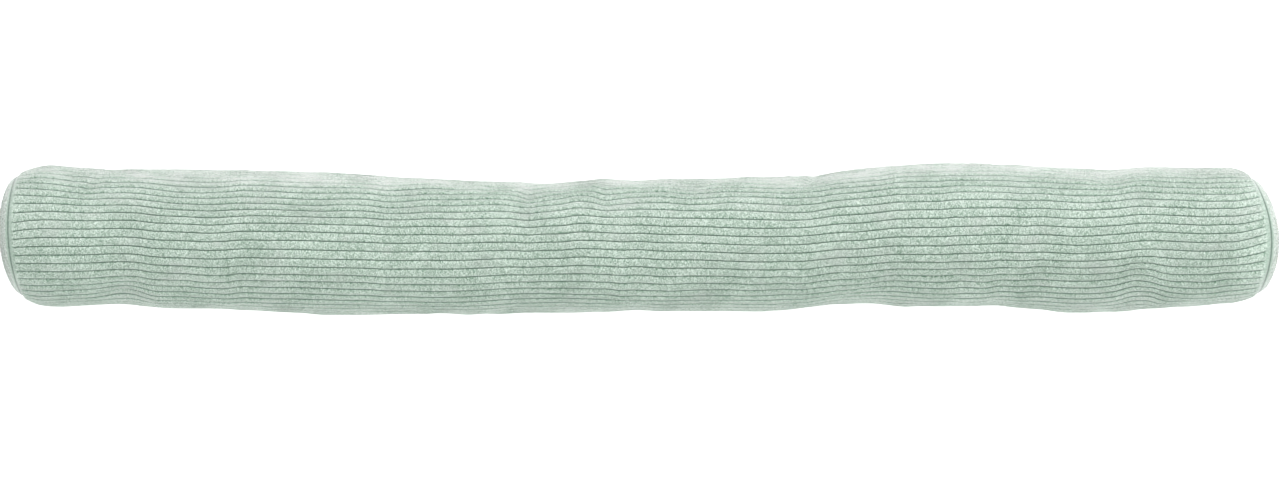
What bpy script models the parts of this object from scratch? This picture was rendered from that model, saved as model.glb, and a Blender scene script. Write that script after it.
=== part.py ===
"""A draught excluder: a long round cushion of wide-ribbed corduroy that lies along the foot of a door.

One panel is rolled with its ribs lengthwise, sewn into a tube and filled. A round panel of the same cloth
closes each end. The origin is on the floor under the middle of the cushion, +X runs along it and +Z is up.
"""

import math
from collections import namedtuple

import bmesh
import bpy

MM = 0.001

# Driving dimensions
RIBS = 50
RIB_DEPTH = 1.4 * MM
CLOSING_SEAM_DEPTH = 2.2 * MM
HEIGHT_TO_WIDTH = 0.965
PRESSED_FLAT = 3.4 * MM

SHOULDER_LENGTH = 21 * MM
END_DROOP = 1.0 * MM
SEAM_TO_FULL_WIDTH = 0.86
SEAM_GROOVE_SHARE = 0.35

DISC_THICKNESS = 2.6 * MM
DISC_RIBS = 14
DISC_COLUMNS = 8
DISC_CLEARANCE = 0.4 * MM
DOME_FULLNESS = 0.6
# The filling lies lower than the disc over it and swells a little less, so that the two never touch.
FILLING_BELOW_DISC = 0.7 * MM
FILLING_SWELL = 0.92

# One rib is three points: the bottom of its groove and the two edges of its flat top.
RIB_POINTS = (0.0, 0.24, 0.76)
FIRST_GROOVE = math.radians(0.6)
CLOSING_SEAM_RIB = 20

# Angles round the tube are 0 at the top, positive towards +Y, the far flank, and negative towards -Y, the
# near flank.
FAR_ROW = math.radians(45)
NEAR_ROW = math.radians(49)
DRIFT_FADES_FROM = math.radians(80)
DRIFT_ENDS_AT = math.radians(150)

CORDUROY = (0.44, 0.56, 0.46, 1.0)
CORDUROY_ENDS = (0.50, 0.61, 0.52, 1.0)

# A row is a cross-section. x is its place, side how far the axis swings towards +Y, and half_width its reach,
# in millimetres. far, top and near say how many degrees the ribs drift towards +Y on the far flank, the top
# and the near flank.
Section = namedtuple("Section", "x side half_width far top near")
SECTIONS = (
    Section(-418.0, 2.1, 50.0, -1.7, -1.9, -2.8),
    Section(-390.0, 2.1, 48.6, -3.4, -2.0, -2.6),
    Section(-361.5, 1.4, 47.2, -1.1, -0.6, -0.4),
    Section(-337.5, 0.2, 48.5, -3.5, -1.5, -1.6),
    Section(-313.0, -0.2, 48.5, -5.6, -2.2, -2.3),
    Section(-277.0, -1.2, 49.2, -3.8, -0.1, 0.9),
    Section(-249.0, -2.5, 49.7, -4.2, 1.1, 3.1),
    Section(-229.0, -3.0, 49.8, -4.7, 1.3, 3.6),
    Section(-192.5, -4.1, 48.8, -1.6, 1.5, 2.3),
    Section(-158.5, -4.6, 47.6, -1.5, 1.3, -1.0),
    Section(-107.0, -6.2, 47.0, 4.8, 4.0, 2.7),
    Section(-77.5, -6.0, 45.5, 2.4, 3.4, 3.0),
    Section(-55.5, -6.0, 45.5, 6.9, 4.3, 3.9),
    Section(-42.5, -5.3, 46.2, 9.3, 4.8, 2.9),
    Section(-22.5, -4.2, 47.2, 2.1, 2.9, 0.7),
    Section(-2.0, -4.9, 45.8, 6.4, 3.4, 0.0),
    Section(38.0, -4.2, 47.2, 1.2, 1.1, 0.5),
    Section(64.0, -4.1, 47.4, 2.7, -0.2, 1.1),
    Section(118.5, -1.8, 47.2, -2.8, -2.8, -4.5),
    Section(139.0, 0.2, 47.0, -0.9, -2.7, -3.7),
    Section(165.5, 2.1, 47.6, -1.8, -3.0, -2.7),
    Section(184.0, 2.5, 49.7, -1.4, -1.8, 1.7),
    Section(208.0, 2.8, 50.7, -2.2, -2.0, 1.1),
    Section(252.5, 2.8, 50.0, 0.4, -0.2, 2.8),
    Section(282.5, 0.2, 50.2, 3.1, 2.7, 8.2),
    Section(306.5, -1.1, 50.4, 3.1, 2.8, 8.2),
    Section(332.0, -1.4, 50.0, 4.4, 4.6, 10.5),
    Section(353.0, 0.0, 50.0, 6.1, 5.1, 12.7),
    Section(367.0, 0.4, 49.7, 4.0, 4.6, 6.1),
    Section(399.5, 2.1, 48.6, 0.2, 1.2, 1.0),
    Section(412.5, 2.3, 48.4, 1.1, 1.3, 2.6),
)

# A row is a hollow where the filling gives way, or a lump where depth is negative. x, depth and length are
# in millimetres, and angle and spread are degrees round the tube.
Hollow = namedtuple("Hollow", "x angle depth length spread")
HOLLOWS = (
    Hollow(-390.0, 48, 1.6, 18, 16),
    Hollow(-361.5, -56, 2.6, 13, 14),
    Hollow(-313.0, 40, 1.8, 26, 22),
    Hollow(-229.0, -20, -1.2, 40, 30),
    Hollow(-77.5, 54, 2.8, 14, 15),
    Hollow(-22.5, 48, 2.4, 13, 16),
    Hollow(38.0, 63, 2.0, 13, 14),
    Hollow(118.5, 70, 2.2, 14, 16),
    Hollow(150.0, -60, 1.8, 28, 26),
    Hollow(208.0, 10, -1.4, 45, 34),
    Hollow(252.5, -82, 1.4, 10, 12),
    Hollow(332.0, 66, 2.0, 14, 15),
    Hollow(353.0, -56, 2.8, 15, 16),
)

# A row is an end of the tube. outward is its direction along X, seam the middle of the seam round its disc,
# and bulge how far the disc swells past it, in millimetres. lean slopes the seam's plane, as a change of x
# for each unit of y, and crest is how far the seam stands out at its top and bottom past its sides, in
# millimetres. far, top and near are the ribs' drift at the seam, in degrees.
End = namedtuple("End", "name outward seam side half_width bulge lean crest far top near")
ENDS = (
    End("end_disc_left", -1, -436.2, 2.1, 50.0, 13.8, -0.05, 4.8, 8.0, -4.5, -10.0),
    End("end_disc_right", 1, 434.3, 2.4, 48.6, 15.7, -0.06, 9.0, 14.0, 10.0, -3.0),
)
SHOULDER_RINGS = (12 * MM, 4.5 * MM, 0.0)
DOME_RINGS = (0.75, 0.45)

Ring = namedtuple("Ring", "x side axis half_width drifts slope crest groove_share")


def smooth(share):
    """0 to 1 with a level start and end."""
    share = min(max(share, 0.0), 1.0)
    return share * share * (3 - 2 * share)


def blend(a, b, share):
    return a + (b - a) * share


def drift(angle, drifts):
    """How far the ribs at this angle stray, from the drifts of the far flank, the top and the near flank."""
    far, top, near = drifts
    if angle >= 0:
        strayed = blend(top, far, smooth(angle / FAR_ROW))
    else:
        strayed = blend(top, near, smooth(-angle / NEAR_ROW))
    hidden = (abs(angle) - DRIFT_FADES_FROM) / (DRIFT_ENDS_AT - DRIFT_FADES_FROM)
    return math.radians(strayed) * (1 - smooth(hidden))


def hollow_depth(x, angle):
    depth = 0.0
    for hollow in HOLLOWS:
        along = (x - hollow.x * MM) / (hollow.length * MM)
        around = (math.degrees(angle) - hollow.angle) / hollow.spread
        depth += hollow.depth * MM * math.exp(-along * along - around * around)
    return depth


def axis_height(half_width):
    return half_width * HEIGHT_TO_WIDTH - PRESSED_FLAT


def end_x(ring, across, up):
    """Where a ring stands at a point of its section, with its lean and its crest."""
    height_share = up / (ring.half_width * HEIGHT_TO_WIDTH)
    return ring.x + ring.slope * across + ring.crest * height_share * height_share


def ring_place(ring, angle, groove):
    """The point of a cross-section at this angle, with the underside pressed flat on the floor."""
    inward = groove * ring.groove_share + hollow_depth(ring.x, angle)
    across = (ring.half_width - inward) * math.sin(angle)
    up = (ring.half_width * HEIGHT_TO_WIDTH - inward) * math.cos(angle)
    return end_x(ring, across, up), ring.side + across, max(ring.axis + up, 0.0)


def body_rings():
    for section in SECTIONS:
        yield Ring(
            x=section.x * MM,
            side=section.side * MM,
            axis=axis_height(section.half_width * MM),
            half_width=section.half_width * MM,
            drifts=(section.far, section.top, section.near),
            slope=0.0,
            crest=0.0,
            groove_share=1.0,
        )


def shoulder_rings(end):
    """The rings that draw the tube in to the seam, seam last. The underside rises off the floor there."""
    last = SECTIONS[0] if end.outward < 0 else SECTIONS[-1]
    for from_seam in SHOULDER_RINGS:
        drawn = (1 - from_seam / SHOULDER_LENGTH) ** 2
        yield Ring(
            x=end.seam * MM - end.outward * from_seam,
            side=end.side * MM,
            axis=axis_height(end.half_width * MM) - END_DROOP * drawn,
            half_width=end.half_width * MM * blend(1, SEAM_TO_FULL_WIDTH, drawn),
            drifts=(
                blend(last.far, end.far, drawn),
                blend(last.top, end.top, drawn),
                blend(last.near, end.near, drawn),
            ),
            slope=end.lean * drawn,
            crest=end.outward * end.crest * MM * drawn,
            groove_share=blend(1.0, SEAM_GROOVE_SHARE, drawn),
        )


def seam_ring(end):
    return list(shoulder_rings(end))[-1]


def seat_size(end):
    """Half the width and half the height of the step that takes a disc, inside the ribs' deepest groove."""
    seam = seam_ring(end)
    inside = SEAM_GROOVE_SHARE * CLOSING_SEAM_DEPTH
    return seam.half_width - inside, seam.half_width * HEIGHT_TO_WIDTH - inside


def add_ribbed_ring(bm, ring):
    points = []
    for rib in range(RIBS):
        for share in RIB_POINTS:
            angle = FIRST_GROOVE + math.tau * (rib + share) / RIBS
            angle = (angle + math.pi) % math.tau - math.pi
            depth = CLOSING_SEAM_DEPTH if rib == CLOSING_SEAM_RIB else RIB_DEPTH
            groove = depth if share == 0 else 0.0
            points.append(bm.verts.new(ring_place(ring, angle + drift(angle, ring.drifts), groove)))
    return points


def dome_place(end, across, up, share, lift, fullness=1.0):
    """A point on an end's domed face, share of the way out from its middle, lifted off it along X."""
    seam = seam_ring(end)
    swell = fullness * end.bulge * MM * max(1 - share * share, 0.0) ** DOME_FULLNESS
    x = end_x(seam, across, up) + end.outward * (swell + lift)
    return x, seam.side + across, seam.axis + up


def add_dome_ring(bm, end, share, lift):
    seam = seam_ring(end)
    half_width, half_height = seat_size(end)
    points = []
    for rib in range(RIBS):
        angle = FIRST_GROOVE + math.tau * rib / RIBS
        angle = (angle + math.pi) % math.tau - math.pi
        angle += drift(angle, seam.drifts)
        across = half_width * share * math.sin(angle)
        up = half_height * share * math.cos(angle)
        points.append(bm.verts.new(dome_place(end, across, up, share, lift, FILLING_SWELL)))
    return points


def join_rings(bm, outer, inner):
    """Triangles between two rings, where the outer has one or more points for each of the inner's."""
    step = len(outer) // len(inner)
    for i, point in enumerate(inner):
        fan = [outer[(i * step + j) % len(outer)] for j in range(step + 1)]
        for first, second in zip(fan, fan[1:]):
            bm.faces.new((first, second, point))
        bm.faces.new((fan[-1], inner[(i + 1) % len(inner)], point))


def close_end(bm, end, rim):
    """The filled end under a disc: a step that takes the disc's edge, then a dome."""
    under_disc = -(DISC_THICKNESS + FILLING_BELOW_DISC)
    outer = rim
    for share in (1.0, *DOME_RINGS):
        inner = add_dome_ring(bm, end, share, under_disc)
        join_rings(bm, outer, inner)
        outer = inner
    middle = bm.verts.new(dome_place(end, 0.0, 0.0, 0.0, under_disc, FILLING_SWELL))
    for i, point in enumerate(outer):
        bm.faces.new((point, outer[(i + 1) % len(outer)], middle))


def finished(bm, name, colour):
    """The object of a mesh, smooth but for its grooves and seams."""
    bmesh.ops.recalc_face_normals(bm, faces=bm.faces)
    mesh = bpy.data.meshes.new(name)
    bm.to_mesh(mesh)
    bm.free()
    mesh.shade_smooth()
    mesh.set_sharp_from_angle(angle=math.radians(55))
    mesh.materials.append(cloth(name + "_corduroy", colour))
    return bpy.data.objects.new(name, mesh)


def cloth(name, colour):
    material = bpy.data.materials.new(name)
    material.use_nodes = True
    shader = material.node_tree.nodes["Principled BSDF"]
    shader.inputs["Base Color"].default_value = colour
    shader.inputs["Roughness"].default_value = 0.95
    shader.inputs["Metallic"].default_value = 0.0
    shader.inputs["Sheen Weight"].default_value = 0.4
    return material


def make_tube():
    left, right = ENDS
    bm = bmesh.new()
    rings = [*reversed(list(shoulder_rings(left))), *body_rings(), *shoulder_rings(right)]
    loops = [add_ribbed_ring(bm, ring) for ring in rings]
    for first, second in zip(loops, loops[1:]):
        join_rings(bm, first, second)
    close_end(bm, left, loops[0])
    close_end(bm, right, loops[-1])
    return finished(bm, "tube", CORDUROY)


def make_disc(end):
    """A round panel, its ribs running across the cushion, domed by the filling behind it."""
    half_width, half_height = (seat - DISC_CLEARANCE for seat in seat_size(end))
    rows = DISC_RIBS * len(RIB_POINTS)
    bm = bmesh.new()
    bmesh.ops.create_grid(bm, x_segments=DISC_COLUMNS, y_segments=rows, size=1.0)
    inner = bmesh.ops.extrude_face_region(bm, geom=bm.faces[:], use_keep_orig=True)["geom"]
    inner = {item for item in inner if isinstance(item, bmesh.types.BMVert)}
    for vert in bm.verts:
        row = round((vert.co.y + 1) / 2 * rows)
        rib, part_of_rib = divmod(row, len(RIB_POINTS))
        height = 2 * (rib + RIB_POINTS[part_of_rib]) / DISC_RIBS - 1
        chord = math.sqrt(max(1 - height * height, 0.0))
        across = vert.co.x * chord
        on_rim = abs(vert.co.x) > 0.999 or chord == 0
        lift = -RIB_DEPTH if part_of_rib == 0 and not on_rim else 0.0
        if vert in inner:
            lift = -DISC_THICKNESS
        share = math.hypot(across, height)
        vert.co = dome_place(end, across * half_width, height * half_height, share, lift)
    bmesh.ops.remove_doubles(bm, verts=bm.verts, dist=0.02 * MM)
    bmesh.ops.triangulate(bm, faces=bm.faces)
    return finished(bm, end.name, CORDUROY_ENDS)


def main():
    for old in list(bpy.data.objects):
        bpy.data.objects.remove(old, do_unlink=True)
    collection = bpy.data.collections.new("draught_excluder")
    bpy.context.scene.collection.children.link(collection)
    for piece in (make_tube(), *(make_disc(end) for end in ENDS)):
        collection.objects.link(piece)


main()
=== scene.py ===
"""The draught excluder's looks: wide-ribbed corduroy sewn into a filled tube, a round panel in each end.

Everything is in metres in the model's own frame: +X runs along the cushion, +Z is up and the floor is
z = 0. Angles round the tube are 0 at the top, positive towards +Y, the far flank, and negative towards
-Y, the near one. Ribs are counted the same way, from 0 at the top.
"""

import math
from collections import namedtuple

import bmesh
import bpy
import numpy as np
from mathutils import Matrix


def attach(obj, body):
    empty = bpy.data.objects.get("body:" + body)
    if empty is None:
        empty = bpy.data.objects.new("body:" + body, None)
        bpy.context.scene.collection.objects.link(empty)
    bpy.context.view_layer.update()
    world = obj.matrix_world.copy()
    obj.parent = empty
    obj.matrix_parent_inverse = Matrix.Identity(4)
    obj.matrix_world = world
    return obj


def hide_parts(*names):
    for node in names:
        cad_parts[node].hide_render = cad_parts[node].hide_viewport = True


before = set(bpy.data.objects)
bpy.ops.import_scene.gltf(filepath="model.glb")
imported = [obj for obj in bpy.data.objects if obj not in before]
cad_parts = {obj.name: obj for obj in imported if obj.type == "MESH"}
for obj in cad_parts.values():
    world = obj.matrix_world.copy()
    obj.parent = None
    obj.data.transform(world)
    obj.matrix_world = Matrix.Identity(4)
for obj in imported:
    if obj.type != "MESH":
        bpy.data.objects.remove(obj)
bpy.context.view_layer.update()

MM = 0.001

# The tube's sizes, as in its solid
RIBS = 50
RIB_DEPTH = 1.5 * MM
CLOSING_SEAM_RIB = 20
CLOSING_SEAM_DEPTH = 2.6 * MM
HEIGHT_TO_WIDTH = 0.965
PRESSED_FLAT = 3.4 * MM
SHOULDER_LENGTH = 21 * MM
END_DROOP = 1.0 * MM
SEAM_TO_FULL_WIDTH = 0.86
SEAM_GROOVE_SHARE = 0.6
FIRST_GROOVE = math.radians(0.6)
FAR_ROW = math.radians(45)
NEAR_ROW = math.radians(49)
ROW_EASE = 1.6
DRIFT_FADES_FROM = math.radians(80)
DRIFT_ENDS_AT = math.radians(150)

# One rib: shares of its width from groove to groove, and how deep it lies there as a share of the groove.
RIB_PROFILE = ((0.0, 1.0), (0.075, 0.42), (0.19, 0.08), (0.5, 0.0), (0.81, 0.08), (0.925, 0.42))
BODY_STATIONS = 276
SHOULDER_STATIONS = 21
SHOULDER_CROWDING = 1.45
TUCKED_SHARE = 0.985

# The ribs end in rounded tips a little short of the seam, and a flat band runs from there down into the
# seam's valley.
TIP_FROM_SEAM = 1.8 * MM
TIP_LENGTH = 2.0 * MM
BAND_DEPTH = 1.0 * MM
VALLEY_WIDTH = 1.0 * MM
VALLEY_DEPTH = 0.6 * MM

DISC_THICKNESS = 2.6 * MM
DISC_RIBS = 14
DISC_RIB_DEPTH = 0.8 * MM
DISC_COLUMNS = 56
DISC_CLEARANCE = 0.4 * MM
DISC_SEAT = 0.77 * MM
DISC_EDGE_FADE = 0.06
DOME_FULLNESS = 0.6
MERGED_WITHIN = 0.01 * MM

# A row is a cross-section: its place along X, how far the axis swings towards +Y, and its half width, in
# millimetres.
SECTIONS = np.array((
    (-436.2, 2.1, 50.0), (-418.0, 2.1, 50.0), (-390.0, 2.1, 48.6), (-361.5, 1.4, 47.2),
    (-337.5, 0.2, 48.5), (-319.0, 0.0, 48.6), (-301.5, -0.4, 48.3), (-277.0, -1.2, 49.2),
    (-249.0, -2.5, 49.7), (-229.0, -3.0, 49.8), (-192.5, -4.1, 48.8), (-158.5, -4.6, 47.6),
    (-132.5, -5.3, 47.6), (-107.0, -6.2, 47.0), (-77.5, -6.0, 45.5), (-55.5, -6.0, 45.5),
    (-42.5, -5.3, 46.2), (-22.5, -4.2, 47.2), (-2.0, -4.9, 45.8), (18.5, -4.6, 46.9),
    (38.0, -4.2, 47.2), (64.0, -4.1, 47.4), (92.5, -3.9, 47.6), (118.5, -1.8, 47.2), (139.0, 0.2, 47.0),
    (165.5, 2.1, 47.6), (184.0, 2.5, 49.7), (208.0, 2.8, 50.7), (230.0, 2.5, 50.4), (252.5, 2.8, 50.0),
    (282.5, 0.2, 50.2), (306.5, -1.1, 50.4), (332.0, -1.4, 50.0), (353.0, 0.0, 50.0),
    (367.0, 0.4, 49.7), (399.5, 2.1, 48.6), (412.5, 2.4, 48.4), (434.3, 2.4, 48.6),
))

# A row says how far the ribs stray towards +Y at a place along X, in degrees on the far flank, at the top
# and on the near flank.
DRIFTS = np.array((
    (-418.0, -1.7, -1.9, -2.8), (-388.5, -3.4, -2.0, -2.7), (-361.5, -1.1, -0.6, -0.4),
    (-351.5, -1.5, -0.4, 0.9), (-337.5, -3.5, -1.5, -1.6), (-319.5, -5.5, -2.0, -1.5),
    (-301.5, -5.7, -2.5, -3.7), (-291.0, -5.5, -1.8, -3.4), (-277.0, -3.8, -0.1, 0.9),
    (-257.5, -3.8, 0.8, 2.3), (-241.0, -4.6, 1.4, 3.7), (-229.0, -4.7, 1.3, 3.6),
    (-192.5, -1.6, 1.5, 2.3), (-175.0, -3.5, 1.0, -0.4), (-158.5, -1.5, 1.3, -1.0),
    (-147.5, 0.5, 1.9, -1.2), (-132.5, 1.1, 2.1, -0.1), (-107.0, 4.8, 4.0, 2.7), (-92.5, 5.6, 4.3, 3.2),
    (-77.5, 2.4, 3.4, 3.0), (-66.0, 5.6, 4.1, 3.7), (-55.5, 6.9, 4.3, 3.9), (-42.5, 9.3, 4.8, 2.9),
    (-32.5, 6.5, 3.8, 2.1), (-22.5, 2.1, 2.9, 0.7), (-12.0, 4.7, 2.6, -0.5), (-2.0, 6.4, 3.4, 0.0),
    (18.5, 4.6, 1.7, -1.0), (38.0, 1.2, 1.1, 0.5), (62.0, 2.7, -0.1, 1.2), (78.0, 1.4, -0.8, -0.1),
    (98.5, -0.9, -1.3, 0.0), (118.5, -2.8, -2.8, -4.5), (139.0, -0.9, -2.7, -3.7),
    (155.5, -1.5, -3.6, -4.5), (165.5, -1.8, -3.0, -2.7), (182.0, -1.3, -1.8, 1.7),
    (208.0, -2.2, -2.0, 1.1), (224.0, 0.1, -0.9, 2.7), (242.5, 0.5, -0.4, 0.6), (252.5, 0.4, -0.2, 2.8),
    (265.5, 0.5, 0.3, 3.5), (276.5, 2.4, 1.9, 7.0), (282.5, 3.1, 2.7, 8.2), (306.5, 3.1, 2.8, 8.2),
    (332.5, 4.4, 4.6, 10.5), (346.5, 6.5, 5.1, 13.6), (357.5, 5.6, 5.0, 11.5), (366.0, 4.0, 4.6, 6.5),
    (377.0, 2.7, 3.4, 3.1), (399.5, 0.2, 1.2, 1.0), (412.0, 1.1, 1.3, 2.6),
))

# A row is a hollow where the filling gives way, or a lump where depth is negative. x, depth and length
# are in millimetres, and angle and spread are degrees round the tube.
Hollow = namedtuple("Hollow", "x angle depth length spread")
HOLLOWS = (
    Hollow(-390.0, 48, 1.6, 18, 16),
    Hollow(-361.5, -56, 2.6, 13, 14),
    Hollow(-313.0, 40, 1.8, 26, 22),
    Hollow(-229.0, -20, -1.2, 40, 30),
    Hollow(-82.5, 84, -1.2, 10, 12),
    Hollow(-77.5, 54, 2.6, 14, 15),
    Hollow(-22.5, 48, 2.4, 13, 16),
    Hollow(38.0, 63, 2.0, 13, 14),
    Hollow(118.5, 70, 2.2, 14, 16),
    Hollow(150.0, -60, 1.8, 28, 26),
    Hollow(208.0, 10, -1.4, 45, 34),
    Hollow(252.5, -82, 1.4, 10, 12),
    Hollow(332.0, 66, 2.0, 14, 15),
    Hollow(353.0, -56, 2.8, 15, 16),
)

# A row is a crease. x and angle are its middle, turn its direction in degrees from +X towards +Y, and
# length, width and depth are in millimetres. step lifts the cloth on its left and lowers it on its right.
Crease = namedtuple("Crease", "x angle turn length width depth step")
CREASES = (
    Crease(-384.0, 52, 70, 16, 3.6, 1.3, 0.5),
    Crease(-370.0, 44, 80, 14, 4.0, 0.6, 0.3),
    Crease(-366.0, -60, 12, 14, 3.4, 0.9, 0.4),
    Crease(-106.0, 66, 60, 10, 3.0, 0.8, 0.3),
    Crease(-78.0, 58, 96, 13, 4.0, 1.1, 0.4),
    Crease(-56.0, 66, 30, 12, 3.2, 0.6, 0.3),
    Crease(-24.0, 56, 78, 14, 4.2, 0.9, 0.4),
    Crease(121.0, 80, 80, 14, 3.0, 2.4, 1.0),
    Crease(99.0, -78, 60, 12, 3.6, 0.9, 0.3),
    Crease(247.0, -76, 90, 9, 2.8, 0.8, 0.2),
    Crease(322.0, 64, 60, 12, 3.6, 0.8, 0.3),
    Crease(360.0, -48, 74, 20, 4.5, 0.3, 0.9),
    Crease(334.0, -60, 40, 14, 4.0, 0.3, 0.2),
)

# A row is an end of the tube, as in its solid.
End = namedtuple("End", "name outward seam side half_width bulge lean crest far top near")
ENDS = (
    End("end_disc_left", -1, -436.2, 2.1, 50.0, 13.8, -0.05, 4.8, 8.0, -4.5, -10.0),
    End("end_disc_right", 1, 434.3, 2.4, 48.6, 15.7, -0.06, 9.0, 14.0, 10.0, -3.0),
)

# The cloth is simulated on a plain grid, and what pressure and spare cloth do to it is laid over the
# tube's shape. A negative shrink is spare cloth.
SIM_STATIONS = 176
SIM_AROUND = 72
SIM_FRAMES = 20
SIM_HELD_BELOW = 1.0 * MM
SIM_FINEST = 1
SIM_COARSEST = 3
SIM_CAP = 0.6 * MM
SIM_CLOTH = {
    "quality": 5,
    "mass": 0.3,
    "tension_stiffness": 20,
    "compression_stiffness": 20,
    "shear_stiffness": 8,
    "bending_stiffness": 0.6,
    "shrink_min": -0.025,
    "use_pressure": True,
    "uniform_pressure_force": 4.0,
}

# The pile is small three-sided tufts in four tones, in rows along each rib, with none on the flat contact.
# Places across a rib are shares of its width.
PILE_SEED = 7
TUFT_ROWS = 7
TUFTS_IN_ROW = 680
ROW_SPAN = (0.18, 0.82)
ROW_WANDER = 0.05
TUFT_REACH = 0.42 * MM
TUFT_HEIGHT = 0.75 * MM
TUFT_ROOT = 0.15 * MM
TUFT_NAP = 0.25 * MM
TUFT_STRAY = 0.26 * MM
TUFT_SIZES = (0.8, 1.25)
TUFT_LOWEST = 0.2 * MM
SHORTEST_AT_GROOVE = 0.35
FULL_SIZE_FROM = 0.35
BARE_BELOW = 1.6 * MM
BARE_AT_SEAM = 2.2 * MM
DISC_TUFT_STEP = 0.025
DISC_TUFTS_WITHIN = 0.955
DISC_TUFT_SIZE = 0.75

# On the flanks the rows stand closer to the middle of each rib. The sine of the angle says how far a rib
# is on a flank.
TUFT_FLANK_FROM = 0.5
TUFT_FLANK_WITHIN = 0.4
FAR_NARROWING = 0.14
NEAR_NARROWING = 0.24

# What makes a tuft darker or paler: soft patches, painted sheen that makes the flanks pale between two
# ribs, with how many ribs it fades over towards the top and the floor, and painted shade beside the
# grooves of the flanks.
PATCH_WAVES = 9
PATCH_LENGTHS = (0.018, 0.07)
PATCH_TONE = 0.6
PATCH_CONTRAST = 0.5
FAR_SHEEN_RIBS = (6.5, 20)
NEAR_SHEEN_RIBS = (30, 42.5)
FADE_TO_TOP = 3
FADE_TO_FLOOR = 4
FAR_SHEEN_TONE = 1.1
NEAR_SHEEN_TONE = 0.4
GROOVE_SIDE_SHADE = -2.6
GROOVE_SIDE_WIDTH = 0.36
DISC_TONE = -0.15

# The cloth's colours, and the pile's four tones from the darkest to the lightest
RIB_WIDTH = 6.0 * MM
PILE_DARK = (0.375, 0.500, 0.412)
PILE_LIGHT = (0.630, 0.750, 0.665)
PILE_FADED = (0.545, 0.580, 0.555)
# Painted sheen: the pale grey that the flanks and the end panels are mixed towards
SHEEN_PAINT_GREY = (0.760, 0.770, 0.762)
# Painted shade in the grooves between the ribs
GROOVE_SHADE = (0.14, 0.215, 0.17, 1)
SEAM = (0.13, 0.19, 0.155, 1)
BAND = (0.36, 0.48, 0.40, 1)
SHEEN = (1.0, 0.96, 1.0, 1)
TUFT_TONES = {
    "pile_dark": (0.29, 0.41, 0.33),
    "pile_middle": (0.53, 0.66, 0.565),
    "pile_pale": (0.70, 0.82, 0.735),
    "pile_light": (0.90, 0.97, 0.92),
}
DISC_BRIGHTNESS = 0.92
# How much painted sheen greys the end panels evenly, and how strong the painted shade in their grooves is
DISC_SHEEN_PAINT = 0.2
DISC_GROOVE_SHADE = 0.35

# How the cloth is coloured across a rib, from a groove outwards, and from a seam outwards
GROOVE_WANDER = 0.07
# Painted shade: where the dark lines in the grooves fade out, where the darkening of the ribs' walls fades
# out, and how dark the walls are
GROOVE_EDGE = (0.03, 0.095)
WALL_EDGE = (0.04, 0.24)
WALL_SHADE = 0.24
BAND_STRENGTH = 0.7
SEAM_EDGE = (0.3 * MM, 1.0 * MM)
SEAM_STRENGTH = 0.8
# Painted sheen on the flanks: how many ribs it fades over, how much of it the near flank gets, and its
# range
SHEEN_PAINT_FADE = 4
NEAR_SHEEN_PAINT = 0.45
SHEEN_PAINT_RANGE = (0.2, 0.7)
# Where the flanks begin, and the factors that widen the painted groove shade on the far and near flanks
FLANK_STARTS = (0.5, 0.95)
FAR_GROOVE_SHADE_WIDENING = 0.8
NEAR_GROOVE_SHADE_WIDENING = 0.5

# How fine each unevenness of the cloth is, in waves a metre
WANDER_SCALE = 300.0
TUFT_SCALE = 1500.0
GRAIN_SCALE = 1650.0
CLUMP_SCALE = 520.0
FADING_SCALE = 46.0
SPOT_SCALE = 33.0
FIBRE_SCALE = 3500.0

# The studio. A row is a light: its place and size in metres, its power in watts and its colour.
Light = namedtuple("Light", "name place size power colour")
LIGHTS = (
    Light("key", (0.3, 2.45, 1.6), 1.6, 66.0, (1.0, 0.955, 0.985)),
    Light("fill", (0.2, -1.9, 1.9), 2.2, 36.0, (1.0, 1.0, 1.0)),
    Light("side", (2.6, 0.1, 0.3), 0.9, 21.0, (1.0, 0.96, 0.99)),
)
SKY_COLOUR = (0.98, 1.0, 0.975, 1)
SKY_STRENGTH = 0.68
FLOOR_COLOUR = (0.9, 0.9, 0.9, 1)
FLOOR_GLOW = 0.5
FLOOR_REACH = 6
IMAGE_WIDTH_AT_OBJECT = 0.9016
CAMERA_DISTANCE = 4.3
SENSOR = 36.0
OBJECT_MIDDLE = (0.0007, -0.0007, 0.048)


def curve_through(knots, values, at):
    """A smooth curve through the values that doesn't overshoot them."""
    step = np.diff(knots)
    rise = np.diff(values) / step
    before, after = rise[:-1], rise[1:]
    same_way = before * after > 0
    safe_before, safe_after = np.where(same_way, before, 1.0), np.where(same_way, after, 1.0)
    slope = np.zeros(len(knots))
    slope[1:-1] = np.where(same_way, 2.0 / (1.0 / safe_before + 1.0 / safe_after), 0.0)
    i = np.clip(np.searchsorted(knots, at) - 1, 0, len(knots) - 2)
    t = np.clip((at - knots[i]) / step[i], 0.0, 1.0)
    start, end = values[i], values[i + 1]
    rise_start, rise_end = slope[i] * step[i], slope[i + 1] * step[i]
    return (
        start * (2 * t**3 - 3 * t**2 + 1)
        + rise_start * (t**3 - 2 * t**2 + t)
        + end * (3 * t**2 - 2 * t**3)
        + rise_end * (t**3 - t**2)
    )


def smooth(share):
    share = np.clip(share, 0.0, 1.0)
    return share * share * (3 - 2 * share)


def blend(a, b, share):
    return a + (b - a) * share


def seam_distance(x):
    """How far each station is from the nearer end's seam, and that end's row for each station."""
    left, right = ENDS
    from_left = x - left.seam * MM
    from_right = right.seam * MM - x
    return np.minimum(from_left, from_right), from_left < from_right


def for_end(at_left, name):
    left, right = ENDS
    return np.where(at_left, getattr(left, name), getattr(right, name))


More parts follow.
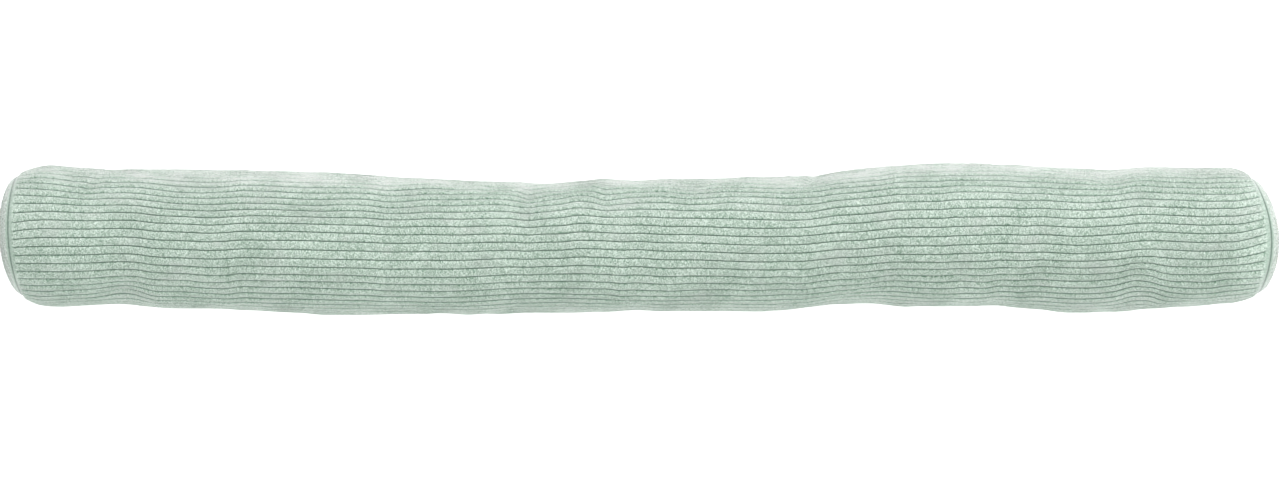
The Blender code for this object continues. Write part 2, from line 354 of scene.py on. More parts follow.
def drift(angle, far, top, near):
    """How far the ribs at this angle stray round the tube, in radians."""
    on_far = blend(top, far, smooth(angle / FAR_ROW) ** ROW_EASE)
    on_near = blend(top, near, smooth(-angle / NEAR_ROW) ** ROW_EASE)
    hidden = (np.abs(angle) - DRIFT_FADES_FROM) / (DRIFT_ENDS_AT - DRIFT_FADES_FROM)
    return np.radians(np.where(angle >= 0, on_far, on_near)) * (1 - smooth(hidden))


def hollow_depth(x, angle):
    depth = np.zeros(np.broadcast(x, angle).shape)
    degrees = np.degrees(angle)
    for hollow in HOLLOWS:
        along = (x / MM - hollow.x) / hollow.length
        around = (degrees - hollow.angle) / hollow.spread
        depth += hollow.depth * MM * np.exp(-along * along - around * around)
    return depth


def crease_depth(x, angle, half_width):
    """Creases as soft troughs, some with one side standing proud of the other."""
    depth = np.zeros(np.broadcast(x, angle).shape)
    for crease in CREASES:
        turn = math.radians(crease.turn)
        east = x / MM - crease.x
        north = (angle - math.radians(crease.angle)) * half_width / MM
        along = (east * math.cos(turn) + north * math.sin(turn)) / crease.length
        beside = (north * math.cos(turn) - east * math.sin(turn)) / crease.width
        near = np.exp(-along * along)
        trough = crease.depth * np.exp(-beside * beside)
        step = crease.step * beside * np.exp(-beside * beside / 4)
        depth += (trough - step) * near * MM
    return depth


def tube_points(x, turns, groove, extra=None):
    """The points of the tube's skin, stations by places round it.

    x is the stations, turns the places round it in radians, groove how deep each place lies, and extra
    how far the skin is pushed out at each point, in metres."""
    x, turns = x[:, None], turns[None, :]
    distance, at_left = seam_distance(x)
    drawn = np.clip(1 - distance / SHOULDER_LENGTH, 0, 1) ** 2
    side = curve_through(SECTIONS[:, 0], SECTIONS[:, 1], x / MM) * MM
    full = curve_through(SECTIONS[:, 0], SECTIONS[:, 2], x / MM) * MM
    half_width = full * blend(1, SEAM_TO_FULL_WIDTH, drawn)
    axis = full * HEIGHT_TO_WIDTH - PRESSED_FLAT - END_DROOP * drawn
    strays = [
        blend(curve_through(DRIFTS[:, 0], DRIFTS[:, column], x / MM), for_end(at_left, name), drawn)
        for column, name in ((1, "far"), (2, "top"), (3, "near"))
    ]
    angle = (turns + math.pi) % math.tau - math.pi
    angle = angle + drift(angle, *strays)
    depth = hollow_depth(x, angle) + crease_depth(x, angle, half_width) * (1 - drawn)
    if extra is not None:
        depth = depth - extra
    tip = np.clip(1 - (distance - TIP_FROM_SEAM) / TIP_LENGTH, 0, 1)
    furrow = groove[None, :] * blend(1.0, SEAM_GROOVE_SHARE, drawn)
    furrow = blend(furrow, BAND_DEPTH, 1 - np.sqrt(1 - tip * tip))
    valley = np.clip(1 - distance / VALLEY_WIDTH, 0, 1)
    furrow = furrow + VALLEY_DEPTH * valley * valley
    across = (half_width - depth - furrow) * np.sin(angle)
    upward = np.cos(angle)
    height = np.maximum(axis + (half_width * HEIGHT_TO_WIDTH - depth) * upward, 0) - furrow * upward
    lean = for_end(at_left, "lean") * drawn
    crest = for_end(at_left, "outward") * for_end(at_left, "crest") * MM * drawn
    return np.stack([x + lean * across + crest * upward**2, side + across, height], axis=-1)


def stations(body, shoulder):
    """Places along the tube from seam to seam, closer together towards the seams."""
    left, right = (end.seam * MM for end in ENDS)
    near_seam = SHOULDER_LENGTH * np.linspace(0, 1, shoulder, endpoint=False) ** SHOULDER_CROWDING
    middle = np.linspace(left + SHOULDER_LENGTH, right - SHOULDER_LENGTH, body)
    return np.concatenate([left + near_seam, middle, (right - near_seam)[::-1]])


def grid_faces(rows, columns, wrapped):
    """Quads between the points of a grid, closed round its columns where wrapped."""
    faces = []
    for row in range(rows - 1):
        for column in range(columns if wrapped else columns - 1):
            following = (column + 1) % columns
            a, b = row * columns + column, row * columns + following
            faces.append((a, b, b + columns, a + columns))
    return faces


def new_piece(name, points, faces, shade=True):
    mesh = bpy.data.meshes.new(name)
    mesh.from_pydata([tuple(point) for point in points], [], faces)
    mesh.validate()
    if shade:
        mesh.shade_smooth()
    piece = bpy.data.objects.new(name, mesh)
    bpy.context.scene.collection.objects.link(piece)
    return piece


def blurred(field, size):
    """The field softened over size cells each way, going round the tube in its columns."""
    reach = range(-2 * size, 2 * size + 1)
    weights = [math.exp(-0.5 * (offset / size) ** 2) for offset in reach]
    padded = np.pad(field, ((2 * size, 2 * size), (0, 0)), mode="edge")
    along = sum(w * padded[2 * size + o: 2 * size + o + len(field)] for o, w in zip(reach, weights))
    around = sum(w * np.roll(along, o, axis=1) for o, w in zip(reach, weights))
    return around / sum(weights) ** 2


def simulated_ease(x, turns):
    """How far pressure and spare cloth push the skin out, at each station and place round the tube.

    The tube is simulated as a plain closed skin, held at its two seams and where it lies on the floor."""
    sim_x = np.linspace(ENDS[0].seam * MM, ENDS[1].seam * MM, SIM_STATIONS)
    sim_turns = np.arange(SIM_AROUND) * math.tau / SIM_AROUND
    start = tube_points(sim_x, sim_turns, np.zeros(SIM_AROUND))
    points = start.reshape(-1, 3)
    faces = grid_faces(SIM_STATIONS, SIM_AROUND, wrapped=True)
    last = (SIM_STATIONS - 1) * SIM_AROUND
    faces.append(tuple(reversed(range(SIM_AROUND))))
    faces.append(tuple(range(last, last + SIM_AROUND)))
    skin = new_piece("simulated_skin", points, faces)
    held = skin.vertex_groups.new(name="held")
    on_floor = [i for i, point in enumerate(points) if point[2] < SIM_HELD_BELOW]
    held.add([*range(SIM_AROUND), *range(last, last + SIM_AROUND), *on_floor], 1.0, "REPLACE")
    cloth = skin.modifiers.new("cloth", "CLOTH")
    for setting, value in SIM_CLOTH.items():
        setattr(cloth.settings, setting, value)
    cloth.settings.vertex_group_mass = "held"
    cloth.settings.effector_weights.gravity = 0
    cloth.collision_settings.use_collision = False
    cloth.point_cache.frame_start = 1
    cloth.point_cache.frame_end = SIM_FRAMES
    scene = bpy.context.scene
    for number in range(1, SIM_FRAMES + 1):
        scene.frame_set(number)
    settled = skin.evaluated_get(bpy.context.evaluated_depsgraph_get()).to_mesh()
    moved = np.zeros(len(points) * 3)
    settled.vertices.foreach_get("co", moved)
    normals = np.zeros(len(points) * 3)
    skin.data.vertices.foreach_get("normal", normals)
    outward = ((moved - points.reshape(-1)) * normals).reshape(-1, 3).sum(1)
    outward = outward.reshape(SIM_STATIONS, SIM_AROUND)
    bpy.data.objects.remove(skin)
    scene.frame_set(1)
    ease = blurred(outward, SIM_FINEST) - blurred(outward, SIM_COARSEST)
    ease = SIM_CAP * np.tanh(ease / SIM_CAP)
    row = np.interp(x, sim_x, np.arange(SIM_STATIONS))
    column = (turns % math.tau) / math.tau * SIM_AROUND
    row_low, column_low = np.clip(row.astype(int), 0, SIM_STATIONS - 2), column.astype(int)
    row_share, column_share = (row - row_low)[:, None], (column - column_low)[None, :]
    corner = [
        ease[row_low + i][:, (column_low + j) % SIM_AROUND] for i in (0, 1) for j in (0, 1)
    ]
    return blend(
        blend(corner[0], corner[1], column_share), blend(corner[2], corner[3], column_share), row_share
    )


def set_weave(piece, across_along):
    """Where each face corner lies on the flat cloth: ribs across it, metres along it, metres to a seam."""
    attribute = piece.data.attributes.new("weave", "FLOAT_VECTOR", "CORNER")
    attribute.data.foreach_set("vector", np.asarray(across_along, np.float32).reshape(-1))


def make_tube():
    """The tube's skin with its ends tucked in behind the discs, its grid of points and its stations."""
    shares = np.array([share for share, _ in RIB_PROFILE])
    depths = np.array([depth for _, depth in RIB_PROFILE])
    ribs = np.arange(RIBS)
    rib_turns = (ribs[:, None] + shares[None, :]).reshape(-1)
    turns = FIRST_GROOVE + rib_turns * math.tau / RIBS
    rib_depth = np.where(ribs == CLOSING_SEAM_RIB, CLOSING_SEAM_DEPTH, RIB_DEPTH)
    following = np.roll(rib_depth, -1)
    each = np.where(shares[None, :] < 0.5, rib_depth[:, None], following[:, None])
    groove = (each * depths[None, :]).reshape(-1)
    x = stations(BODY_STATIONS, SHOULDER_STATIONS)
    ease = simulated_ease(x, turns)
    points = tube_points(x, turns, groove, ease)
    rows, columns = points.shape[:2]
    faces = grid_faces(rows, columns, wrapped=True)
    points = points.reshape(-1, 3)
    along = x[np.arange(rows).repeat(columns)]
    across = np.tile(rib_turns, rows)
    to_seam = seam_distance(x)[0].repeat(columns)
    extra_points, extra_faces = [], []
    for end, first in zip(ENDS, (0, (rows - 1) * columns)):
        rim = points[first: first + columns]
        middle = rim.mean(0)
        behind = np.array([end.outward * (DISC_THICKNESS + DISC_CLEARANCE), 0, 0])
        tucked = middle + (rim - middle) * TUCKED_SHARE - behind
        start = len(points) + len(extra_points)
        extra_points += [*tucked, tucked.mean(0)]
        for i in range(columns):
            after = (i + 1) % columns
            quad = (first + i, first + after, start + after, start + i)
            cap = (start + i, start + after, start + columns)
            if end.outward < 0:
                quad, cap = quad[::-1], cap[::-1]
            extra_faces += [quad, cap]
    points = np.concatenate([points, extra_points])
    piece = new_piece("tube_corduroy", points, faces + extra_faces)
    across = np.concatenate([across, np.zeros(len(extra_points))])
    along = np.concatenate([along, np.zeros(len(extra_points))])
    to_seam = np.concatenate([to_seam, np.zeros(len(extra_points))])
    corners = np.zeros(len(piece.data.loops), int)
    piece.data.loops.foreach_get("vertex_index", corners)
    weave = np.stack([across[corners], along[corners], to_seam[corners]], axis=1)
    wrapped = np.zeros(len(corners), bool)
    starts = np.array([polygon.loop_start for polygon in piece.data.polygons])
    totals = np.array([polygon.loop_total for polygon in piece.data.polygons])
    for start, total in zip(starts, totals):
        values = weave[start: start + total, 0]
        if values.max() - values.min() > RIBS / 2:
            wrapped[start: start + total] = values < RIBS / 2
    weave[wrapped, 0] += RIBS
    set_weave(piece, weave)
    fix_normals(piece)
    return piece, points[:rows * columns].reshape(rows, columns, 3), x


def on_skin(grid, row, column):
    """The points and outward normals of the skin at fractional rows and columns of its grid."""
    rows, columns = grid.shape[:2]
    low = np.clip(row.astype(int), 0, rows - 2)
    left = column.astype(int) % columns
    right = (left + 1) % columns
    up, across = (row - low)[:, None], (column % 1.0)[:, None]
    a, b, c, d = grid[low, left], grid[low, right], grid[low + 1, left], grid[low + 1, right]
    point = blend(blend(a, b, across), blend(c, d, across), up)
    normal = np.cross(blend(b - a, d - c, up), blend(c - a, d - b, across))
    return point, normal / np.linalg.norm(normal, axis=1)[:, None]


def soft_patches(along, around, random):
    """Uneven light and dark areas of the pile, about from -1 to 1, as a few crossed waves."""
    value = np.zeros(len(along))
    for _ in range(PATCH_WAVES):
        length, heading = random.uniform(*PATCH_LENGTHS), random.uniform(0, math.tau)
        wave = along * math.cos(heading) + around * RIB_WIDTH * math.sin(heading)
        value += np.sin(wave * math.tau / length + random.uniform(0, math.tau))
    return value / math.sqrt(PATCH_WAVES)


# Tufts still to be made: where they stand, which way the cloth faces and its nap lies there, their size
# and their tone.
Tufts = namedtuple("Tufts", "point normal nap size tone")


def tube_tufts(grid, x, random):
    """Rows of tufts along the tube's ribs, shorter beside the grooves, with painted shade darkening them
    there on the flanks and painted sheen making them palest high on the flanks.
    """
    shape = (RIBS, TUFT_ROWS, TUFTS_IN_ROW)
    rib, lane, order = (index.ravel() for index in np.indices(shape))
    share = np.linspace(*ROW_SPAN, TUFT_ROWS)[lane] + random.uniform(-ROW_WANDER, ROW_WANDER, rib.size)
    sideways = np.abs(np.sin((rib + 0.5) * math.tau / RIBS))
    flank = smooth((sideways - TUFT_FLANK_FROM) / TUFT_FLANK_WITHIN)
    narrowing = np.where(rib < RIBS / 2, FAR_NARROWING, NEAR_NARROWING) * flank
    share = 0.5 + (share - 0.5) * (1 - narrowing)
    along = x[0] + (order + random.uniform(0, 1, rib.size)) * (x[-1] - x[0]) / TUFTS_IN_ROW
    row = np.interp(along, x, np.arange(len(x)))
    profile = [profile_share for profile_share, _ in RIB_PROFILE] + [1.0]
    column = rib * len(RIB_PROFILE) + np.interp(share, profile, np.arange(len(profile)))
    point, normal = on_skin(grid, row, column)
    from_groove = np.minimum(share, 1 - share)
    size = blend(SHORTEST_AT_GROOVE, 1.0, smooth(from_groove / FULL_SIZE_FROM))
    patches = soft_patches(along, rib + share, random)
    # Painted sheen: tufts high on the flanks are given paler tones.
    far = smooth((rib - FAR_SHEEN_RIBS[0]) / FADE_TO_TOP) * smooth((FAR_SHEEN_RIBS[1] - rib) / FADE_TO_FLOOR)
    near = smooth((rib - NEAR_SHEEN_RIBS[0]) / FADE_TO_FLOOR) * smooth((NEAR_SHEEN_RIBS[1] - rib) / FADE_TO_TOP)
    sheen_paint_tone = (FAR_SHEEN_TONE * far + NEAR_SHEEN_TONE * near) * (1 + PATCH_CONTRAST * patches)
    tone = PATCH_TONE * patches + sheen_paint_tone + random.normal(0, 1, rib.size)
    # Painted shade: tufts beside the grooves of the flanks are given darker tones.
    tone += GROOVE_SIDE_SHADE * flank * (1 - smooth(from_groove / GROOVE_SIDE_WIDTH))
    nap = np.broadcast_to((1.0, 0.0, 0.0), point.shape)
    kept = (point[:, 2] > BARE_BELOW) & (seam_distance(along)[0] > BARE_AT_SEAM)
    return Tufts(*(values[kept] for values in (point, normal, nap, size, tone)))


def disc_tufts(end, grid, random):
    """Tufts scattered evenly over an end's round panel."""
    rows, columns = grid.shape[:2]
    steps = np.arange(-1, 1, DISC_TUFT_STEP)
    across, up = (values.ravel() for values in np.meshgrid(steps, steps))
    across = across + random.uniform(0, DISC_TUFT_STEP, across.size)
    up = up + random.uniform(0, DISC_TUFT_STEP, up.size)
    inside = np.hypot(across, up) < DISC_TUFTS_WITHIN
    across, up = across[inside], up[inside]
    row = np.interp(up, disc_heights(), np.arange(rows))
    turn = np.arcsin(across / np.sqrt(1 - up * up)) / (math.pi / 2)
    point, normal = on_skin(grid, row, (turn + 1) / 2 * (columns - 1.001))
    normal = normal * np.sign(normal[:, :1]) * end.outward
    tone = DISC_TONE + random.normal(0, 1, len(point))
    nap = np.broadcast_to((0.0, 1.0, 0.0), point.shape)
    return Tufts(point, normal, nap, np.full(len(point), DISC_TUFT_SIZE), tone)


def make_pile(patches, random):
    """Joins all tufts into one piece for each tone, as nearly equal in number as they divide."""
    every = Tufts(*(np.concatenate(values) for values in zip(*patches)))
    ranked = np.argsort(every.tone, kind="stable")
    for name, chosen in zip(TUFT_TONES, np.array_split(ranked, len(TUFT_TONES))):
        make_tufts(name, Tufts(*(values[chosen] for values in every)), random)


def make_tufts(name, tufts, random):
    """Three-sided tufts, open where they stand in the cloth, that lean with the nap and stray a little."""
    point, normal = tufts.point, tufts.normal
    count = len(point)
    east = tufts.nap - normal * (tufts.nap * normal).sum(1)[:, None]
    east /= np.linalg.norm(east, axis=1)[:, None]
    north = np.cross(normal, east)
    size = (tufts.size * random.uniform(*TUFT_SIZES, count))[:, None]
    turn = random.uniform(0, math.tau, count)
    root = point - normal * TUFT_ROOT
    corners = []
    for third in range(3):
        heading = (turn + third * math.tau / 3)[:, None]
        corners.append(root + (east * np.cos(heading) + north * np.sin(heading)) * TUFT_REACH * size)
    stray = random.normal(0, TUFT_STRAY, (2, count, 1)) * size
    tip = point + normal * TUFT_HEIGHT * size + east * (TUFT_NAP + stray[0]) + north * stray[1]
    points = np.stack([*corners, tip], axis=1)
    points[:, :, 2] = np.maximum(points[:, :, 2], TUFT_LOWEST)
    first = np.arange(count)[:, None] * 4
    sides = [first + np.array(side) for side in ((0, 1, 3), (1, 2, 3), (2, 0, 3))]
    faces = np.stack(sides, axis=1).reshape(-1, 3)
    mesh = bpy.data.meshes.new(name)
    mesh.vertices.add(count * 4)
    mesh.vertices.foreach_set("co", points.astype(np.float32).ravel())
    mesh.loops.add(len(faces) * 3)
    mesh.loops.foreach_set("vertex_index", faces.astype(np.int32).ravel())
    mesh.polygons.add(len(faces))
    mesh.polygons.foreach_set("loop_start", np.arange(len(faces), dtype=np.int32) * 3)
    mesh.update(calc_edges=True)
    mesh.shade_smooth()
    piece = bpy.data.objects.new(name, mesh)
    bpy.context.scene.collection.objects.link(piece)
    mesh.materials.append(tuft_cloth(name))
    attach(piece, "root")


def fix_normals(piece):
    bm = bmesh.new()
    bm.from_mesh(piece.data)
    bmesh.ops.recalc_face_normals(bm, faces=bm.faces)
    bm.to_mesh(piece.data)
    bm.free()


def seam_at(end):
    """The centre of the seam round an end's disc, and its half width."""
    half_width = end.half_width * MM * SEAM_TO_FULL_WIDTH
    axis = end.half_width * MM * HEIGHT_TO_WIDTH - PRESSED_FLAT - END_DROOP
    return end.seam * MM, end.side * MM, axis, half_width


def disc_heights():
    """The levels of an end disc's grid, from -1 at its foot to 1 at its top, a rib profile at a time."""
    shares = [rib + share for rib in range(DISC_RIBS) for share, _ in RIB_PROFILE]
    return np.array([*shares, DISC_RIBS]) * 2 / DISC_RIBS - 1


def make_disc(end):
    """A round panel of the same cloth, its ribs across the cushion and domed by the filling behind it.

    The grid of its outer points comes with it."""
    x, side, axis, seam_half = seam_at(end)
    half_width = seam_half - DISC_SEAT - DISC_CLEARANCE
    half_height = seam_half * HEIGHT_TO_WIDTH - DISC_SEAT - DISC_CLEARANCE
    heights = disc_heights()
    furrows = np.array([depth for _, depth in RIB_PROFILE] * DISC_RIBS + [1.0])
    columns = DISC_COLUMNS + 1
    spread = np.sin(np.linspace(-1, 1, columns) * math.pi / 2)
    chord = np.sqrt(np.maximum(1 - heights**2, 0))
    across = chord[:, None] * spread[None, :]
    up = np.repeat(heights[:, None], columns, axis=1)
    share = np.minimum(np.hypot(across, up), 1.0)
    swell = end.bulge * MM * (1 - share * share) ** DOME_FULLNESS
    edge = np.clip((1 - share) / DISC_EDGE_FADE, 0, 1)
    furrow = DISC_RIB_DEPTH * furrows[:, None] * edge
    crest = end.crest * MM * up**2 * (half_height / (seam_half * HEIGHT_TO_WIDTH))**2
    faces, layers = [], []
    for lift in (-furrow, np.full_like(furrow, -DISC_THICKNESS)):
        layers.append(np.stack([
            x + end.lean * across * half_width + end.outward * (crest + swell + lift),
            side + across * half_width,
            axis + up * half_height,
        ], axis=-1).reshape(-1, 3))
    rows = len(heights)
    count = rows * columns
    top = grid_faces(rows, columns, wrapped=False)
    faces += top
    faces += [tuple(reversed([i + count for i in face])) for face in top]
    rim = [
        *range(columns),
        *(row * columns + columns - 1 for row in range(1, rows)),
        *((rows - 1) * columns + column for column in reversed(range(columns - 1))),
        *(row * columns for row in reversed(range(1, rows - 1))),
    ]
    for a, b in zip(rim, rim[1:] + rim[:1]):
        faces.append((b, a, a + count, b + count))
    piece = new_piece(end.name + "_corduroy", np.concatenate(layers), faces)
    corners = np.zeros(len(piece.data.loops), int)
    piece.data.loops.foreach_get("vertex_index", corners)
    rib_count = np.tile(((up + 1) / 2 * DISC_RIBS).reshape(-1), 2)
    along = np.tile((across * half_width).reshape(-1), 2)
    to_seam = np.tile(np.hypot((1 - share) * half_width, swell).reshape(-1), 2)
    set_weave(piece, np.stack([rib_count[corners], along[corners], to_seam[corners]], axis=1))
    bm = bmesh.new()
    bm.from_mesh(piece.data)
    bmesh.ops.remove_doubles(bm, verts=bm.verts, dist=MERGED_WITHIN)
    bmesh.ops.recalc_face_normals(bm, faces=bm.faces)
    bm.to_mesh(piece.data)
    bm.free()
    return piece, layers[0].reshape(rows, columns, 3)


class Graph:
    """Makes a material's nodes, linking each input that is given as another node's output."""

    def __init__(self, name):
        self.material = bpy.data.materials.new(name)
        self.material.use_nodes = True
        self.tree = self.material.node_tree
        self.shader = self.tree.nodes["Principled BSDF"]

    def node(self, kind, inputs=(), **settings):
        made = self.tree.nodes.new("ShaderNode" + kind)
        for key, value in settings.items():
            setattr(made, key, value)
        for key, value in dict(inputs).items():
            self.put(made.inputs[key], value)
        return made

    def put(self, socket, value):
        if isinstance(value, bpy.types.NodeSocket):
            self.tree.links.new(value, socket)
        else:
            socket.default_value = value

    def math(self, operation, a, b=0.0):
        return self.node("Math", {0: a, 1: b}, operation=operation).outputs[0]

    def noise(self, vector, scale, detail=2.0, roughness=0.5):
        inputs = {"Vector": vector, "Scale": scale, "Detail": detail, "Roughness": roughness}
        return self.node("TexNoise", inputs).outputs["Fac"]

    def ramp(self, value, low, high, to_low=0.0, to_high=1.0):
        made = self.node(
            "MapRange",
            {"Value": value, "From Min": low, "From Max": high, "To Min": to_low, "To Max": to_high},
            interpolation_type="SMOOTHSTEP",
        )
        return made.outputs["Result"]

    def mix(self, share, a, b, **settings):
        made = self.node("Mix", {0: share, 6: a, 7: b}, data_type="RGBA", **settings)
        return made.outputs[2]

    def stretched(self, vector, scale):
        made = self.node("VectorMath", {0: vector, 1: scale}, operation="MULTIPLY")
        return made.outputs[0]


def soften(shader):
    """The dull shine of cut pile, palest where it is seen from the side."""
    shader.inputs["Roughness"].default_value = 0.95
    shader.inputs["Specular IOR Level"].default_value = 0.1
    shader.inputs["Sheen Weight"].default_value = 1.0
    shader.inputs["Sheen Roughness"].default_value = 0.4
    shader.inputs["Sheen Tint"].default_value = SHEEN


def tinted(colour, brightness):
    return [part * brightness for part in colour] + [1]


def tuft_cloth(name):
    """One tone of the pile, its colour plain and its surface broken up by fine fibres."""
    graph = Graph(name)
    graph.shader.inputs["Base Color"].default_value = (*TUFT_TONES[name], 1)
    fibres = graph.noise(graph.node("TexCoord").outputs["Object"], FIBRE_SCALE, 1.0, 0.6)
    bump = graph.node("Bump", {"Height": fibres, "Strength": 0.6, "Distance": 0.3 * MM})
    graph.put(graph.shader.inputs["Normal"], bump.outputs["Normal"])
    soften(graph.shader)
    return graph.material


def groove_shade_widened_on_flanks(graph, ribs, from_groove):
    """Widens the painted shade in the grooves between the ribs on the tube's flanks, most of it on the
    near one.
    """
    turn = graph.math("SINE", graph.math("MULTIPLY", ribs, math.tau / RIBS))
    on_far = graph.ramp(turn, *FLANK_STARTS, 1.0, FAR_GROOVE_SHADE_WIDENING)
    on_near = graph.ramp(graph.math("MULTIPLY", turn, -1.0), *FLANK_STARTS, 1.0, NEAR_GROOVE_SHADE_WIDENING)
    return graph.math("MULTIPLY", graph.math("MULTIPLY", from_groove, on_far), on_near)


def sheen_paint_on_flanks(graph, ribs, fading):
    """How much painted sheen greys the tube's cloth, which is most on the flanks, and uneven along them.
    """
    flanks = []
    for (first, last), strength in ((FAR_SHEEN_RIBS, 1.0), (NEAR_SHEEN_RIBS, NEAR_SHEEN_PAINT)):
        begins = graph.ramp(ribs, first, first + SHEEN_PAINT_FADE)
        ends = graph.ramp(ribs, last - SHEEN_PAINT_FADE, last, strength, 0.0)
        flanks.append(graph.math("MULTIPLY", begins, ends))
    return graph.math("MULTIPLY", graph.math("ADD", *flanks), graph.ramp(fading, 0.3, 0.7, *SHEEN_PAINT_RANGE))


def corduroy(name, brightness=1.0, groove_shade_strength=0.9, sheen_paint=None):
    """Cut pile in rows: light and dark tufts, thin lines of painted shade in the grooves between the ribs,
    painted shade on the ribs' walls, and soft fading.

    The last argument is how much painted sheen greys the cloth, and without it that follows the tube's
    flanks."""
    graph = Graph(name)
    weave = graph.node("Attribute", attribute_name="weave").outputs["Vector"]
    flat = graph.stretched(weave, (RIB_WIDTH, 1, 0))
    parts = graph.node("SeparateXYZ", {"Vector": weave}).outputs
    ribs, to_seam = parts[0], parts[2]
    wander = graph.math("SUBTRACT", graph.noise(flat, WANDER_SCALE), 0.5)
    wander = graph.math("MULTIPLY", wander, GROOVE_WANDER)
    place = graph.math("FRACT", graph.math("ADD", ribs, wander))
    from_groove = graph.math("SUBTRACT", 0.5, graph.math("ABSOLUTE", graph.math("SUBTRACT", place, 0.5)))
    # Painted shade in the grooves, widened on the tube's flanks
    line = groove_shade_widened_on_flanks(graph, ribs, from_groove) if sheen_paint is None else from_groove
    groove_shade_mask = graph.ramp(line, *GROOVE_EDGE, 1.0, 0.0)
    # Painted shade darkens the ribs' walls beside the grooves.
    wall_shade_mask = graph.ramp(from_groove, *WALL_EDGE, WALL_SHADE, 0.0)
    cells = graph.node("TexVoronoi", {"Vector": flat, "Scale": TUFT_SCALE, "Randomness": 1.0}).outputs
    tuft_tone = graph.node("SeparateColor", {"Color": cells["Color"]}).outputs[0]
    grain = graph.noise(flat, GRAIN_SCALE, 2.0, 0.7)
    clumps = graph.noise(graph.stretched(flat, (0.7, 1.0, 1.0)), CLUMP_SCALE, 2.0, 0.6)
    fading = graph.noise(flat, FADING_SCALE, 3.0, 0.6)
    spots = graph.noise(graph.stretched(flat, (1.5, 1.0, 1.0)), SPOT_SCALE, 2.0, 0.55)
    tone = graph.ramp(tuft_tone, 0.0, 1.0, -0.85, 0.85)
    tone = graph.math("ADD", tone, graph.ramp(grain, 0.25, 0.75, -0.95, 0.95))
    tone = graph.math("ADD", tone, graph.ramp(clumps, 0.3, 0.7, 0.40, 0.60))
    tone = graph.math("ADD", tone, graph.ramp(fading, 0.3, 0.7, -0.13, 0.13))
    # The painted shade on the walls darkens the tone.
    tone = graph.math("SUBTRACT", tone, wall_shade_mask)
    dark, light = tinted(PILE_DARK, brightness), tinted(PILE_LIGHT, brightness)
    colour = graph.mix(tone, dark, light, clamp_factor=False)
    colour = graph.mix(graph.ramp(spots, 0.50, 0.74, 0.0, 0.35), colour, tinted(PILE_FADED, brightness))
    # Painted sheen: the cloth is greyed on the tube's flanks, or evenly on the end panels.
    if sheen_paint is None:
        sheen_paint = sheen_paint_on_flanks(graph, ribs, fading)
    colour = graph.mix(sheen_paint, colour, tinted(SHEEN_PAINT_GREY, brightness))
    # Painted shade in the grooves, fading out before the rib tips by the seams.
    beyond_tips = graph.ramp(to_seam, 1.1 * TIP_FROM_SEAM, 1.9 * TIP_FROM_SEAM, 0.0, groove_shade_strength)
    colour = graph.mix(graph.math("MULTIPLY", groove_shade_mask, beyond_tips), colour, GROOVE_SHADE)
    on_band = graph.ramp(to_seam, 0.9 * TIP_FROM_SEAM, 1.6 * TIP_FROM_SEAM, BAND_STRENGTH, 0.0)
    colour = graph.mix(on_band, colour, BAND)
    in_seam = graph.ramp(to_seam, *SEAM_EDGE, SEAM_STRENGTH, 0.0)
    colour = graph.mix(in_seam, colour, SEAM)
    graph.put(graph.shader.inputs["Base Color"], colour)
    height = graph.math("ADD", graph.math("MULTIPLY", grain, 0.6), graph.math("MULTIPLY", tuft_tone, 0.35))
    height = graph.math("ADD", height, graph.math("MULTIPLY", clumps, 0.3))
    bump = graph.node("Bump", {"Height": height, "Strength": 0.9, "Distance": 0.9 * MM})
    graph.put(graph.shader.inputs["Normal"], bump.outputs["Normal"])
    soften(graph.shader)
    return graph.material


def add_light(light):
    """A square soft light that points at the middle of the cushion."""
    data = bpy.data.lights.new(light.name, "AREA")
    data.shape = "SQUARE"
    data.size = light.size
    data.energy = light.power
    data.color = light.colour
    lamp = bpy.data.objects.new(light.name, data)
    lamp.location = light.place
    aim = -(lamp.location - bpy.data.objects["aim"].location)
    lamp.rotation_euler = aim.to_track_quat("-Z", "Y").to_euler()
    bpy.context.scene.collection.objects.link(lamp)


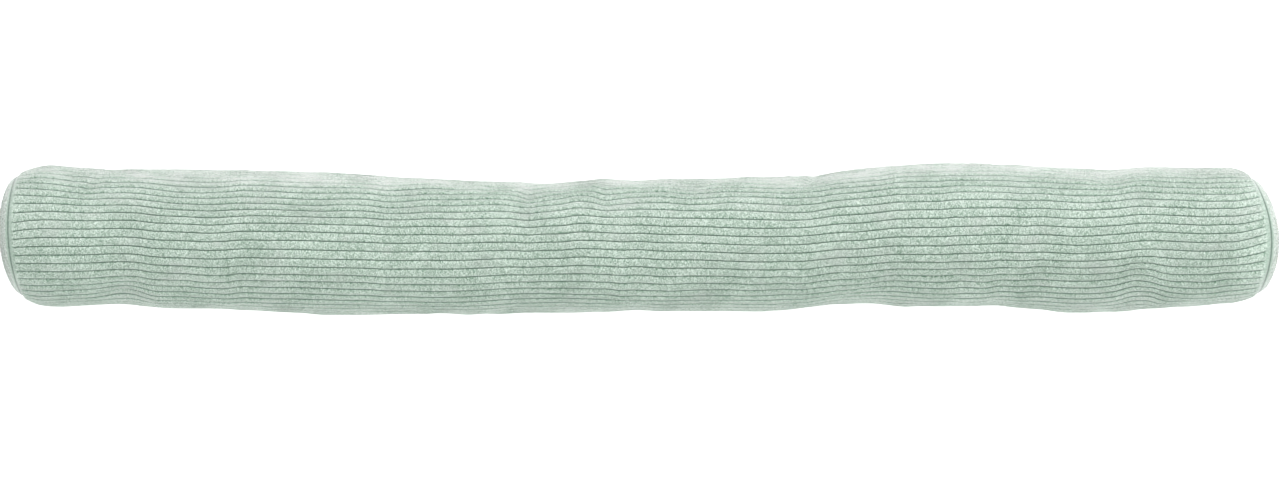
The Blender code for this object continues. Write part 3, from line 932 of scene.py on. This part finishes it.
def make_studio():
    """A pale floor, soft light from above and the far side, and the camera straight above the cushion."""
    scene = bpy.context.scene
    aim = bpy.data.objects.new("aim", None)
    aim.location = OBJECT_MIDDLE
    scene.collection.objects.link(aim)
    world = bpy.data.worlds.new("studio")
    world.use_nodes = True
    background = world.node_tree.nodes["Background"]
    background.inputs["Color"].default_value = SKY_COLOUR
    background.inputs["Strength"].default_value = SKY_STRENGTH
    scene.world = world
    for light in LIGHTS:
        add_light(light)
    corners = [(-FLOOR_REACH, -FLOOR_REACH, 0), (FLOOR_REACH, -FLOOR_REACH, 0)]
    corners += [(FLOOR_REACH, FLOOR_REACH, 0), (-FLOOR_REACH, FLOOR_REACH, 0)]
    floor = new_piece("floor", corners, [(0, 1, 2, 3)], shade=False)
    graph = Graph("floor_white")
    graph.shader.inputs["Base Color"].default_value = FLOOR_COLOUR
    graph.shader.inputs["Roughness"].default_value = 0.9
    graph.shader.inputs["Specular IOR Level"].default_value = 0.0
    graph.shader.inputs["Emission Color"].default_value = (1, 1, 1, 1)
    graph.shader.inputs["Emission Strength"].default_value = FLOOR_GLOW
    floor.data.materials.append(graph.material)
    data = bpy.data.cameras.new("camera")
    data.sensor_width = SENSOR
    data.lens = SENSOR * CAMERA_DISTANCE / IMAGE_WIDTH_AT_OBJECT
    data.clip_end = 50
    camera = bpy.data.objects.new("camera", data)
    camera.location = (OBJECT_MIDDLE[0], OBJECT_MIDDLE[1], OBJECT_MIDDLE[2] + CAMERA_DISTANCE)
    scene.collection.objects.link(camera)
    scene.camera = camera
    scene.view_settings.view_transform = "Standard"


make_studio()

tube, tube_grid, tube_x = make_tube()
pile_random = np.random.default_rng(PILE_SEED)
pile = [tube_tufts(tube_grid, tube_x, pile_random)]
tube.data.materials.append(corduroy("tube_pile"))
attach(tube, "root")
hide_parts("tube")

# The end panels get painted shade in their grooves and an even painted sheen.
disc_cloth = corduroy("end_pile", DISC_BRIGHTNESS, DISC_GROOVE_SHADE, DISC_SHEEN_PAINT)
for end in ENDS:
    disc, disc_grid = make_disc(end)
    pile.append(disc_tufts(end, disc_grid, pile_random))
    disc.data.materials.append(disc_cloth)
    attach(disc, "root")
    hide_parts(end.name)

make_pile(pile, pile_random)
